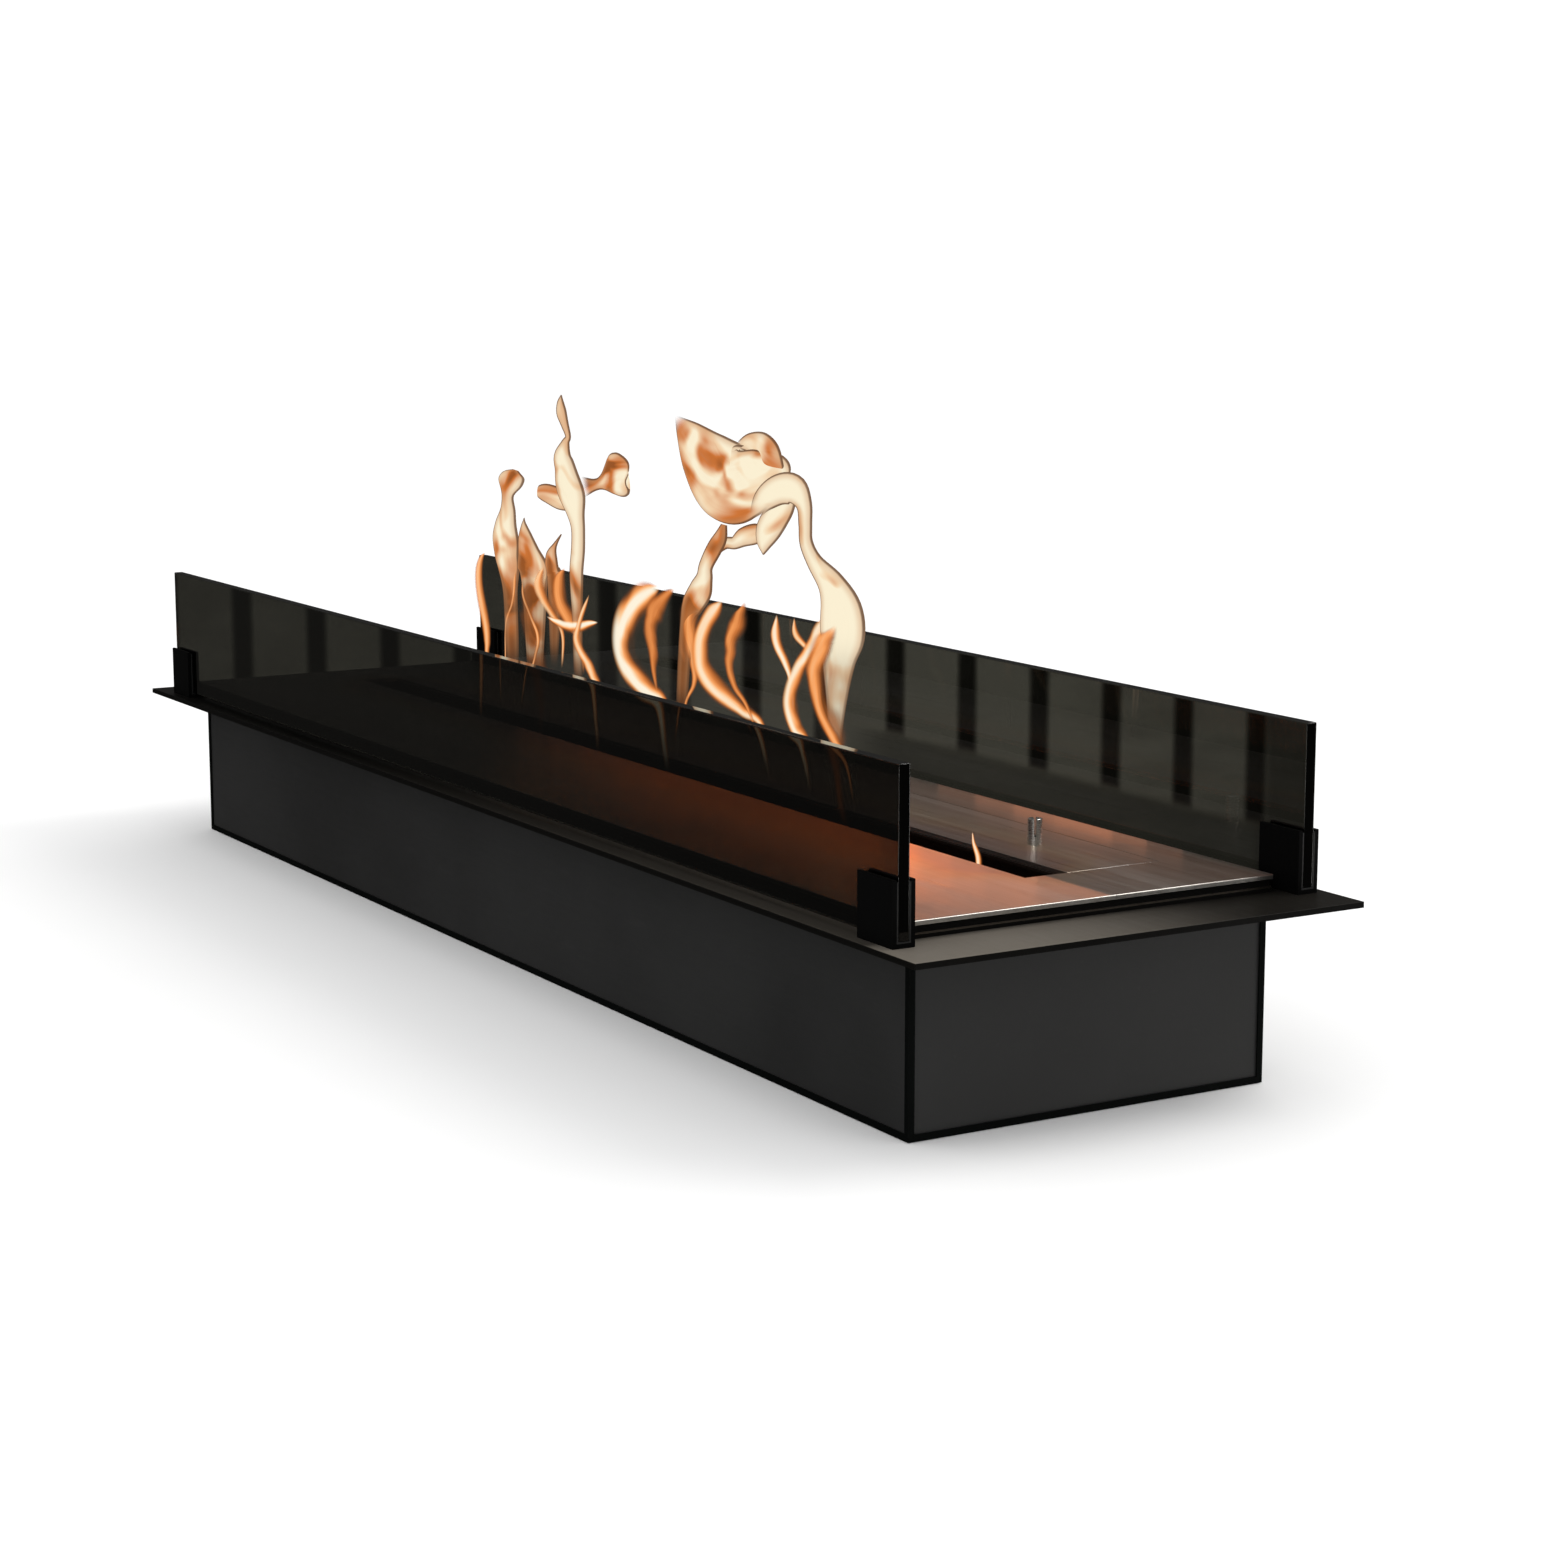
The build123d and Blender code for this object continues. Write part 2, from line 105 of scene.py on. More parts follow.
class Graph:
    """A material's or the world's node tree, and short ways to add to it."""

    def __init__(self, owner):
        """Empties the owner's node tree."""
        owner.use_nodes = True
        self.tree = owner.node_tree
        self.tree.nodes.clear()

    def node(self, kind, settings=None, sockets=None, out=0):
        """Adds a node: settings first, then values or links of its sockets; gives one output."""
        made = self.tree.nodes.new(kind)
        for key, value in (settings or {}).items():
            if key == "stops":
                self._stops(made.color_ramp, value)
            else:
                setattr(made, key, value)
        for key, value in (sockets or {}).items():
            if isinstance(value, Wire):
                self.tree.links.new(value.socket, made.inputs[key])
            else:
                made.inputs[key].default_value = value
        return Wire(self, made.outputs[out]) if made.outputs else made

    @staticmethod
    def _stops(ramp, stops):
        """Fills a colour ramp with (place, colour) stops."""
        ramp.elements[0].position = stops[0][0]
        ramp.elements[1].position = stops[-1][0]
        for place, _ in stops[1:-1]:
            ramp.elements.new(place)
        for element, (_, colour) in zip(ramp.elements, stops):
            element.color = (*colour, 1.0)

    def coords(self, kind="Object"):
        """The place of a point, in the object's own coordinates unless told otherwise."""
        return self.node("ShaderNodeTexCoord", out=kind)

    def axis(self, vector, name):
        """One of a vector's X, Y and Z."""
        return self.node("ShaderNodeSeparateXYZ", None, {0: vector}, out=name)

    def stretch(self, vector, x, y, z):
        """A vector scaled by a different amount along each axis."""
        return self.node(
            "ShaderNodeVectorMath", {"operation": "MULTIPLY"}, {0: vector, 1: (x, y, z)}
        )

    def noise(self, vector, scale, detail=3.0, rough=0.5, twist=0.0):
        """Soft noise between 0 and 1."""
        return self.node(
            "ShaderNodeTexNoise",
            None,
            {
                "Vector": vector,
                "Scale": scale,
                "Detail": detail,
                "Roughness": rough,
                "Distortion": twist,
            },
        )

    def cells(self, vector, scale):
        """The distance to the middle of the nearest random cell."""
        sockets = {"Vector": vector, "Scale": scale}
        return self.node("ShaderNodeTexVoronoi", None, sockets, out="Distance")

    def step(self, value, start, end, low=0.0, high=1.0):
        """Rises smoothly from low to high as value goes from start to end."""
        return self.node(
            "ShaderNodeMapRange",
            {"interpolation_type": "SMOOTHSTEP"},
            {"Value": value, 1: start, 2: end, 3: low, 4: high},
        )

    def least(self, first, second):
        """The smaller of two values."""
        return self.node("ShaderNodeMath", {"operation": "MINIMUM"}, {0: first, 1: second})

    def most(self, first, second):
        """The larger of two values."""
        return self.node("ShaderNodeMath", {"operation": "MAXIMUM"}, {0: first, 1: second})

    def mix(self, share, first, second):
        """A colour between two colours."""
        ends = [
            colour if isinstance(colour, Wire) else (*colour, 1.0) for colour in (first, second)
        ]
        sockets = {0: share, 6: ends[0], 7: ends[1]}
        return self.node("ShaderNodeMix", {"data_type": "RGBA"}, sockets, out=2)

    def ramp(self, value, stops):
        """The colour that (place, colour) stops give a value."""
        return self.node("ShaderNodeValToRGB", {"stops": stops}, {0: value})

    def bump(self, height, depth):
        """A normal from a height; depth is how far the height's whole range stands out."""
        sockets = {"Strength": 1.0, "Distance": depth, "Height": height}
        return self.node("ShaderNodeBump", None, sockets)

    def finish(self, sockets):
        """Ends the tree in a Principled shader."""
        shader = self.node("ShaderNodeBsdfPrincipled", None, sockets)
        self.output(shader)

    def output(self, shader, kind="ShaderNodeOutputMaterial"):
        """Ends the tree in an output node."""
        self.node(kind, None, {0: shader})


def new_material(name):
    """An empty material and its graph."""
    material = bpy.data.materials.new(name)
    return material, Graph(material)


def rgb(colour):
    """The first three channels of a colour."""
    return tuple(colour)[:3]


def shade(colour, amount):
    """A colour made lighter or darker by a factor."""
    return tuple(channel * amount for channel in rgb(colour))


def give(material, *names):
    """Puts one material on the named CAD nodes."""
    for name in names:
        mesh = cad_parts[name].data
        mesh.materials.clear()
        mesh.materials.append(material)


def nodes_starting(*starts):
    """Names of the CAD nodes that start in one of these ways."""
    return [name for name in sorted(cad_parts) if name.startswith(starts)]


# ------------------------------------------------------------------ painted steel
def powder_coat(name, colour, roughness, gloss, wear, dust_and_sheen_from=None):
    """Powder coat: a fine pebbled skin, soft clouds of tone, and rubs that run along the length.

    Given a height, the faces above it get a pale tan that is partly a fine dusting and partly a
    painted sheen of glancing light. It is strongest on the end strips and towards the +X end and
    the front, and weaker on the long strips.
    """
    material, g = new_material(name)
    place = g.coords()
    cloud = g.noise(place, 4.0, 4.0, 0.55)
    pebble = g.noise(place, 950.0, 2.0, 0.45)
    rub = g.noise(g.stretch(place, 6.0, 60.0, 60.0), 3.0, 5.0, 0.6)
    rubbed = g.step(rub, 0.63, 0.78) * wear
    tone = g.mix(g.step(cloud, 0.3, 0.7), shade(colour, 0.86), shade(colour, 1.12))
    tone = g.mix(rubbed, tone, shade(colour, 2.2))
    if dust_and_sheen_from is not None:
        # Painted sheen with a fine dusting: the top faces are lifted to a pale tan where light
        # glances off them, most towards the +X end and the front.
        top_faces = g.step(g.axis(place, "Z"), dust_and_sheen_from - 0.0001, dust_and_sheen_from)
        front = g.step(g.axis(place, "Y") * -1.0, -0.1, 0.1, 0.06, 1.0)
        far = g.step(g.axis(place, "X"), -0.3, 0.62, 0.02, 1.0)
        ends = g.step(abs(g.axis(place, "X")), 0.598, 0.612, 0.3, 1.0)
        dust_and_sheen = top_faces * far * front * ends * g.step(cloud + pebble * 0.3, 0.3, 0.8, 0.8, 1.0)
        tone = g.mix(dust_and_sheen, tone, (0.145, 0.129, 0.108))
    g.finish(
        {
            "Base Color": tone,
            "Roughness": g.step(cloud + rub * 0.4, 0.4, 1.0, roughness - 0.07, roughness + 0.08),
            "Specular IOR Level": gloss,
            "Normal": g.bump(pebble, 0.00005),
        }
    )
    return material


# ------------------------------------------------------------------ bare steel
def heat_mask(g, place, reach):
    """How hot the steel gets: one beside the slot, nothing at reach from it, ragged by noise."""
    off_middle, cooler_end, hottest, raggedness = 0.012, 0.03, 0.012, 0.05
    middle = (DECK_LOW.y + DECK_HIGH.y) / 2 + off_middle
    across = abs(g.axis(place, "Y") - middle)
    along = abs(g.axis(place, "X")) - (PLATE_HIGH.x - cooler_end)
    away = across + g.most(along, 0.0)
    ragged = g.noise(place, 14.0, 4.0, 0.6) - 0.5
    return g.step(away + ragged * raggedness, reach, hottest)


def brushed_steel(name, colour, roughness, tint, grain, stains):
    """Brushed stainless: fine lines along X, straw and bronze heat tint, faint wiped-off stains."""
    material, g = new_material(name)
    place = g.coords()
    fine = g.noise(g.stretch(place, 9.0, 1500.0, 1500.0), 1.0, 4.0, 0.65)
    broad = g.noise(g.stretch(place, 2.5, 160.0, 160.0), 1.0, 3.0, 0.55)
    wiped = g.noise(g.stretch(place, 7.0, 16.0, 16.0), 1.0, 5.0, 0.6, 0.8)
    heat = heat_mask(g, place, 0.085)
    lines = fine * 0.6 + broad * 0.4
    steel = g.mix(g.step(lines, 0.32, 0.68), shade(colour, 0.84), shade(colour, 1.1))
    straw = g.ramp(
        heat,
        [
            (0.0, (1.0, 1.0, 1.0)),
            (0.35, (0.98, 0.86, 0.62)),
            (0.62, (0.9, 0.6, 0.34)),
            (0.82, (0.66, 0.4, 0.36)),
            (1.0, (0.5, 0.42, 0.44)),
        ],
    )
    tinted = g.node(
        "ShaderNodeMix",
        {"data_type": "RGBA", "blend_type": "MULTIPLY"},
        {0: tint, 6: steel, 7: straw},
        out=2,
    )
    dull = g.step(wiped, 0.52, 0.7) * stains
    g.finish(
        {
            "Base Color": g.mix(dull, tinted, shade(colour, 0.5)),
            "Metallic": 1.0,
            "Roughness": g.step(lines + dull * 0.5, 0.25, 0.95, roughness - 0.07, roughness + 0.16),
            "Normal": g.bump(lines, grain),
        }
    )
    return material


def turned_steel(name, colour):
    """Polished turned steel: fine rings down its height, a few handling marks."""
    material, g = new_material(name)
    place = g.coords()
    rings = g.noise(g.stretch(place, 60.0, 60.0, 5200.0), 1.0, 2.0, 0.5)
    smear = g.noise(place, 260.0, 3.0, 0.6)
    g.finish(
        {
            "Base Color": g.mix(g.step(smear, 0.4, 0.75), colour, shade(colour, 0.8)),
            "Metallic": 1.0,
            "Roughness": g.step(rings + smear * 0.5, 0.4, 1.0, 0.18, 0.32),
            "Normal": g.bump(rings, 0.00002),
        }
    )
    return material


def zinc_plate(name, colour):
    """Zinc-plated fasteners: a pale coat with yellow and blue passivation clouds and grey wear."""
    material, g = new_material(name)
    place = g.coords()
    cloud = g.noise(place, 120.0, 3.0, 0.55)
    fleck = g.noise(place, 1500.0, 2.0, 0.5)
    hue = g.ramp(
        g.step(cloud, 0.3, 0.72),
        [(0.0, shade(colour, 0.85)), (0.5, colour), (1.0, (0.72, 0.69, 0.56))],
    )
    g.finish(
        {
            "Base Color": g.mix(g.step(fleck, 0.58, 0.72), hue, shade(colour, 0.55)),
            "Metallic": 1.0,
            "Roughness": g.step(cloud + fleck * 0.4, 0.4, 1.0, 0.28, 0.48),
            "Normal": g.bump(fleck, 0.00003),
        }
    )
    return material


def primed_steel(name, colour):
    """Grey primed sheet: dry overspray, small runs and scratches down to lighter primer."""
    material, g = new_material(name)
    place = g.coords()
    spray = g.noise(place, 420.0, 4.0, 0.6)
    cloud = g.noise(place, 9.0, 4.0, 0.6)
    scratch = g.noise(g.stretch(place, 20.0, 900.0, 300.0), 1.0, 2.0, 0.5)
    tone = g.mix(g.step(cloud, 0.35, 0.7), shade(colour, 0.8), shade(colour, 1.15))
    g.finish(
        {
            "Base Color": g.mix(g.step(scratch, 0.66, 0.74), tone, shade(colour, 2.0)),
            "Roughness": g.step(spray, 0.3, 0.7, 0.55, 0.75),
            "Normal": g.bump(spray, 0.00012),
        }
    )
    return material


# ------------------------------------------------------------------ glass, silicone, wool, board
def smoked_glass(name, tint, ior):
    """Grey smoked float glass: even tint, with a dusty film that is thickest along the bottom."""
    material, g = new_material(name)
    place = g.coords()
    height = g.axis(place, "Z")
    smear = g.noise(g.stretch(place, 3.0, 3.0, 9.0), 2.0, 4.0, 0.6, 1.2)
    film = g.step(height + smear * 0.03, 0.165, 0.15) + g.step(smear, 0.55, 0.8) * 0.5
    g.finish(
        {
            "Base Color": g.mix(film * 0.25, rgb(tint), shade(tint, 0.7)),
            "Roughness": g.step(film, 0.0, 1.2, 0.0, 0.05),
            "Transmission Weight": 1.0,
            "IOR": ior,
            "Specular IOR Level": 0.35,
        }
    )
    return material


def silicone(name, colour):
    """Moulded black silicone: matte, with faint mould lines along X and lint."""
    material, g = new_material(name)
    place = g.coords()
    lines = g.noise(g.stretch(place, 30.0, 900.0, 900.0), 1.0, 2.0, 0.5)
    lint = g.noise(place, 2600.0, 2.0, 0.6)
    tone = g.mix(g.step(lint, 0.66, 0.8), colour, shade(colour, 3.0))
    g.finish(
        {
            "Base Color": tone,
            "Roughness": g.step(lines, 0.3, 0.7, 0.62, 0.8),
            "Normal": g.bump(lines + lint * 0.5, 0.00006),
        }
    )
    return material


def ceramic_fibre(name, colour):
    """Ceramic wool: matted fibres both ways, scorched brown to black towards its top."""
    material, g = new_material(name)
    place = g.coords()
    long_way = g.noise(g.stretch(place, 260.0, 2600.0, 2600.0), 1.0, 4.0, 0.65, 0.6)
    cross_way = g.noise(g.stretch(place, 2600.0, 320.0, 1800.0), 1.0, 4.0, 0.65, 0.6)
    fibres = g.most(long_way, cross_way)
    lumps = g.noise(place, 60.0, 3.0, 0.5)
    scorch = g.step(g.axis(place, "Z") + lumps * 0.02, WOOL_LOW.z - 0.006, WOOL_LOW.z + 0.012)
    clean = g.mix(g.step(fibres, 0.4, 0.72), shade(colour, 0.72), shade(colour, 1.1))
    burnt = g.mix(g.step(lumps, 0.35, 0.65), (0.2, 0.13, 0.08), (0.03, 0.026, 0.022))
    g.finish(
        {
            "Base Color": g.mix(scorch * 0.85, clean, burnt),
            "Roughness": g.step(fibres, 0.3, 0.8, 0.82, 0.98),
            "Sheen Weight": 0.25,
            "Normal": g.bump(fibres + lumps, 0.0012),
        }
    )
    return material


def mineral_board(name, colour):
    """Pressed mineral board: off-white, pitted, with darker specks and a sanded face."""
    material, g = new_material(name)
    place = g.coords()
    pits = g.cells(place, 420.0)
    speck = g.noise(place, 700.0, 3.0, 0.6)
    cloud = g.noise(place, 12.0, 4.0, 0.6)
    tone = g.mix(g.step(cloud, 0.3, 0.7), shade(colour, 0.86), shade(colour, 1.06))
    g.finish(
        {
            "Base Color": g.mix(g.step(speck, 0.62, 0.72) * 0.7, tone, shade(colour, 0.45)),
            "Roughness": g.step(cloud + speck, 0.6, 1.4, 0.8, 0.95),
            "Normal": g.bump(g.step(pits, 0.05, 0.4), 0.0004),
        }
    )
    return material


# ------------------------------------------------------------------ flame shader
def flame_parts(g):
    """The flame's own coordinates (across, along, half the width, in m), ember share and rise."""
    fire = g.node("ShaderNodeAttribute", {"attribute_name": "fire"}, out="Vector")
    ember = g.node("ShaderNodeAttribute", {"attribute_name": "ember"}, out="Fac")
    rise = g.axis(g.coords("UV"), "Y")
    return fire, g.axis(fire, "X"), g.axis(fire, "Z"), ember, rise


def lit_gas(g, hue, solid):
    """Glowing gas: the colour shows as much as it is solid, the rest is clear."""
    glow = g.node("ShaderNodeEmission", None, {"Color": hue, "Strength": 1.0})
    clear = g.node("ShaderNodeBsdfTransparent")
    g.output(g.node("ShaderNodeMixShader", None, {0: solid, 1: clear, 2: glow}))


def tall_flame_skin(name, core, body, rim):
    """Tongues above the glass: cream gas, ember clouds, a thin brown rim, clearer low down."""
    material, g = new_material(name)
    fire, across, half, ember, rise = flame_parts(g)
    cloud = g.noise(g.stretch(fire, 46.0, 24.0, 0.0), 1.0, 1.2, 0.4, 1.1)
    streak = g.noise(g.stretch(fire, 160.0, 30.0, 0.0), 1.0, 2.0, 0.5, 0.6)
    inside = half - abs(across)
    height = g.axis(g.coords(), "Z")
    low = g.step(height, 0.278, 0.232)
    heat = cloud * 2.3 + streak * 0.16 - ember * 0.66 - 0.14 - low * 0.45
    hue = g.ramp(
        heat,
        [
            (0.16, shade(body, 0.5)),
            (0.34, body),
            (0.52, (0.77, 0.43, 0.24)),
            (0.7, (0.9, 0.66, 0.42)),
            (0.9, core),
        ],
    )
    hue = g.mix(g.step(inside, 0.007, 0.0006) * 0.55, hue, (0.62, 0.31, 0.14))
    hue = g.mix(g.step(inside, 0.0019, 0.0007) * 0.88, hue, rim)
    solid = g.step(rise, 0.0, 0.1) * g.step(streak, 0.2, 0.6, 0.9, 0.99)
    lit_gas(g, hue, solid * (1.0 - low * 0.58) * g.step(height, 0.178, 0.21))
    return material


def low_flame_skin(name, body, rim):
    """Tongues between the panes: a soft fold of cream in an orange-brown veil with soft edges."""
    material, g = new_material(name)
    fire, across, half, ember, rise = flame_parts(g)
    side = across / g.most(half, 0.0004)
    flow = g.noise(g.stretch(fire, 26.0, 15.0, 0.0), 1.0, 2.0, 0.5, 0.6)
    streak = g.noise(g.stretch(fire, 230.0, 24.0, 0.0), 1.0, 3.0, 0.5, 0.5)
    drift = (flow - 0.5) * 1.7
    fold = g.step(abs(side - drift + 0.3), 1.0, 0.04)
    heat = fold * 1.02 + streak * 0.22 - ember * 0.52 - 0.1
    hue = g.ramp(
        heat,
        [
            (0.0, rim),
            (0.2, shade(body, 0.45)),
            (0.42, body),
            (0.6, (0.95, 0.36, 0.11)),
            (0.8, (1.0, 0.62, 0.33)),
            (1.0, (1.0, 0.9, 0.72)),
        ],
    )
    ends = g.step(rise, 0.0, 0.14) * g.step(rise, 1.0, 0.9)
    solid = g.step(heat, -0.2, 0.7, 0.0, 0.92) * g.step(abs(side), 1.0, 0.45)
    lit_gas(g, hue, solid * ends)
    return material


# ------------------------------------------------------------------ mesh helpers
def grid_faces(rows, columns, wrap):
    """Four-sided faces of a grid of rows by columns; wrap joins the last column to the first."""
    row = np.arange(rows - 1)[:, None]
    column = np.arange(columns if wrap else columns - 1)[None, :]
    beside = (column + 1) % columns
    corners = np.stack(
        [
            row * columns + column,
            row * columns + beside,
            (row + 1) * columns + beside,
            (row + 1) * columns + column,
        ],
        axis=-1,
    )
    return corners.reshape(-1, 4)


def put_mesh(name, points, faces, uv, material):
    """A mesh object from whole arrays of points, faces and one UV pair for each face corner."""
    mesh = bpy.data.meshes.new(name)
    mesh.from_pydata(points.tolist(), [], faces.tolist())
    if uv is not None:
        layer = mesh.uv_layers.new(name="UVMap")
        layer.data.foreach_set("uv", uv.astype(np.float32).ravel())
    mesh.polygons.foreach_set("use_smooth", np.ones(len(mesh.polygons), bool))
    mesh.materials.append(material)
    mesh.update()
    made = bpy.data.objects.new(name, mesh)
    bpy.context.scene.collection.objects.link(made)
    return made


def smooth_along(stations, count):
    """A smooth curve through the stations: each point blends four neighbours (Catmull-Rom)."""
    knots = np.asarray(stations, float)
    padded = np.vstack([2 * knots[0] - knots[1], knots, 2 * knots[-1] - knots[-2]])
    where = np.linspace(0, len(knots) - 1.000001, count)
    base = where.astype(int)
    t = (where - base)[:, None]
    p0, p1, p2, p3 = (padded[base + k] for k in range(4))
    return 0.5 * (
        2 * p1 + (p2 - p0) * t + (2 * p0 - 5 * p1 + 4 * p2 - p3) * t**2
        + (3 * p1 - p0 - 3 * p2 + p3) * t**3
    )


def flame_tube(name, number, foot, turn, ember, stations, material, swell, depth):
    """A flame as a flattened tube.

    The middle line runs through stations (sideways, height, width), in mm, in an upright plane
    through foot that is turned from X by turn degrees. At every height the outline is an ellipse,
    its long half-axis half the width square to the middle line, its short one depth times that.
    The line weaves out of its plane by a sine of up to 4 mm, less on a thin flame. Each point also
    keeps its place in the flame: across, along from the root, half the width. The number keeps
    the noise of one flame apart from the next.
    """
    rows, spokes = 72, 28
    thinnest, most_weave, apart = 0.0008, 0.004, 1.7
    line = smooth_along(stations, rows) / 1000.0
    side, height, width = line[:, 0], line[:, 1], np.maximum(line[:, 2] * swell, thinnest)
    steps = np.linalg.norm(np.diff(line[:, :2], axis=0), axis=1)
    along = np.concatenate([[0.0], np.cumsum(steps)]) + apart * number
    slope = np.gradient(line[:, :2], axis=0)
    slope /= np.linalg.norm(slope, axis=1)[:, None] + 1e-9
    angle = np.linspace(0, FULL_TURN, spokes, endpoint=False)[None, :]
    weave = np.minimum(width.max() * 0.2, most_weave) * np.sin(np.linspace(0, 7, rows))
    across = np.cos(angle) * width[:, None] / 2
    out = np.sin(angle) * width[:, None] / 2 * depth + weave[:, None]
    in_plane = side[:, None] + across * slope[:, 1:2]
    up = height[:, None] - across * slope[:, 0:1]
    cos_t, sin_t = math.cos(math.radians(turn)), math.sin(math.radians(turn))
    x = foot[0] + in_plane * cos_t - out * sin_t
    y = foot[1] + in_plane * sin_t + out * cos_t
    points = np.stack([x, y, up], axis=-1).reshape(-1, 3)
    faces = grid_faces(rows, spokes, wrap=True)
    rise = np.repeat(np.linspace(0, 1, rows), spokes)
    uv = np.stack([np.tile(np.linspace(0, 1, spokes), rows), rise], axis=-1)[faces.ravel()]
    flame = put_mesh(name, points, faces, uv, material)
    own = np.broadcast_arrays(across, along[:, None], width[:, None] / 2)
    fire = flame.data.attributes.new("fire", "FLOAT_VECTOR", "POINT")
    fire.data.foreach_set("vector", np.stack(own, axis=-1).astype(np.float32).ravel())
    glowing = flame.data.attributes.new("ember", "FLOAT", "POINT")
    glowing.data.foreach_set("value", np.full(rows * spokes, ember, np.float32))
    return flame


# ------------------------------------------------------------------ settings
class CasingSettings(bpy.types.PropertyGroup):
    """Paints of the casing, its edges, the flange and the glass holders."""

    panel: bpy.props.FloatVectorProperty(
        name="Panel", description="Powder coat of the casing", subtype="COLOR",
        default=(0.0172, 0.0172, 0.0172), min=0, max=1,
    )
    edge: bpy.props.FloatVectorProperty(
        name="Edges", description="Paint of the edge angles", subtype="COLOR",
        default=(0.0025, 0.003, 0.0028), min=0, max=1,
    )
    flange: bpy.props.FloatVectorProperty(
        name="Flange", description="Paint of the flange and the rim", subtype="COLOR",
        default=(0.003, 0.0028, 0.0024), min=0, max=1,
    )
    holder: bpy.props.FloatVectorProperty(
        name="Holders", description="Paint of the glass holders", subtype="COLOR",
        default=(0.0022, 0.0022, 0.0022), min=0, max=1,
    )


class SteelSettings(bpy.types.PropertyGroup):
    """Bare steel of the deck, the shutter, the tanks and the stud."""

    deck: bpy.props.FloatVectorProperty(
        name="Deck", description="Brushed stainless of the deck and shutter", subtype="COLOR",
        default=(0.6, 0.575, 0.54), min=0, max=1,
    )
    tank: bpy.props.FloatVectorProperty(
        name="Tanks", description="Duller stainless of the tanks and the bed", subtype="COLOR",
        default=(0.1, 0.085, 0.07), min=0, max=1,
    )
    stud: bpy.props.FloatVectorProperty(
        name="Stud", description="Polished steel of the shutter stud", subtype="COLOR",
        default=(0.78, 0.76, 0.72), min=0, max=1,
    )
    roughness: bpy.props.FloatProperty(
        name="Roughness", description="Middle roughness of the deck", default=0.33,
        min=0.05, max=0.9, subtype="FACTOR",
    )
    heat_tint: bpy.props.FloatProperty(
        name="Heat tint", description="Strength of the straw tint beside the slot", default=0.5,
        min=0, max=1, subtype="FACTOR",
    )


class GlassSettings(bpy.types.PropertyGroup):
    """Smoked panes and their black liners."""

    tint: bpy.props.FloatVectorProperty(
        name="Tint", description="What one pane lets through", subtype="COLOR",
        default=(0.05, 0.049, 0.043), min=0, max=1,
    )
    ior: bpy.props.FloatProperty(
        name="Refraction", description="Index of refraction", default=1.5, min=1.3, max=1.8,
    )


class WoolSettings(bpy.types.PropertyGroup):
    """Ceramic wool, the tufts in its cover's slots, and the mineral boards."""

    wool: bpy.props.FloatVectorProperty(
        name="Wool", description="Clean ceramic wool", subtype="COLOR",
        default=(0.72, 0.69, 0.62), min=0, max=1,
    )
    board: bpy.props.FloatVectorProperty(
        name="Board", description="Mineral board", subtype="COLOR",
        default=(0.66, 0.64, 0.59), min=0, max=1,
    )
    tuft_height: bpy.props.FloatProperty(
        name="Tuft height", description="How far the wool bulges through the slots of its cover",
        default=0.0022, min=0.0, max=0.004, subtype="DISTANCE", unit="LENGTH",
    )


class FlameSettings(bpy.types.PropertyGroup):
    """Colours of the flames and the light that they throw."""

    core: bpy.props.FloatVectorProperty(
        name="Core", description="Hottest part", subtype="COLOR",
        default=(0.97, 0.87, 0.65), min=0, max=1,
    )
    body: bpy.props.FloatVectorProperty(
        name="Body", description="Middle of the flame", subtype="COLOR",
        default=(0.62, 0.18, 0.04), min=0, max=1,
    )
    outline: bpy.props.FloatVectorProperty(
        name="Rim", description="Thin dark rim", subtype="COLOR",
        default=(0.12, 0.055, 0.028), min=0, max=1,
    )
    light: bpy.props.FloatProperty(
        name="Light", description="How much light the fire throws, 1 being as lit", default=1.0,
        min=0, max=10, subtype="FACTOR",
    )


class StageSettings(bpy.types.PropertyGroup):
    """Floor, studio light and camera."""

    floor: bpy.props.FloatVectorProperty(
        name="Floor", description="Colour of the floor", subtype="COLOR",
        default=(0.93, 0.93, 0.93), min=0, max=1,
    )
    lens: bpy.props.FloatProperty(
        name="Lens", description="Focal length", default=72.4, min=20, max=200,
        subtype="DISTANCE_CAMERA", unit="CAMERA",
    )
    camera: bpy.props.FloatVectorProperty(
        name="Camera", description="Place of the camera", subtype="TRANSLATION", unit="LENGTH",
        default=(2.1591, -1.1498, 0.5482),
    )
    heading: bpy.props.FloatProperty(
        name="Heading", description="Direction of view round Z, from +X", subtype="ANGLE",
        unit="ROTATION", default=math.radians(149.406),
    )
    tilt: bpy.props.FloatProperty(
        name="Tilt", description="How far the view looks down", subtype="ANGLE",
        unit="ROTATION", default=math.radians(9.882),
    )


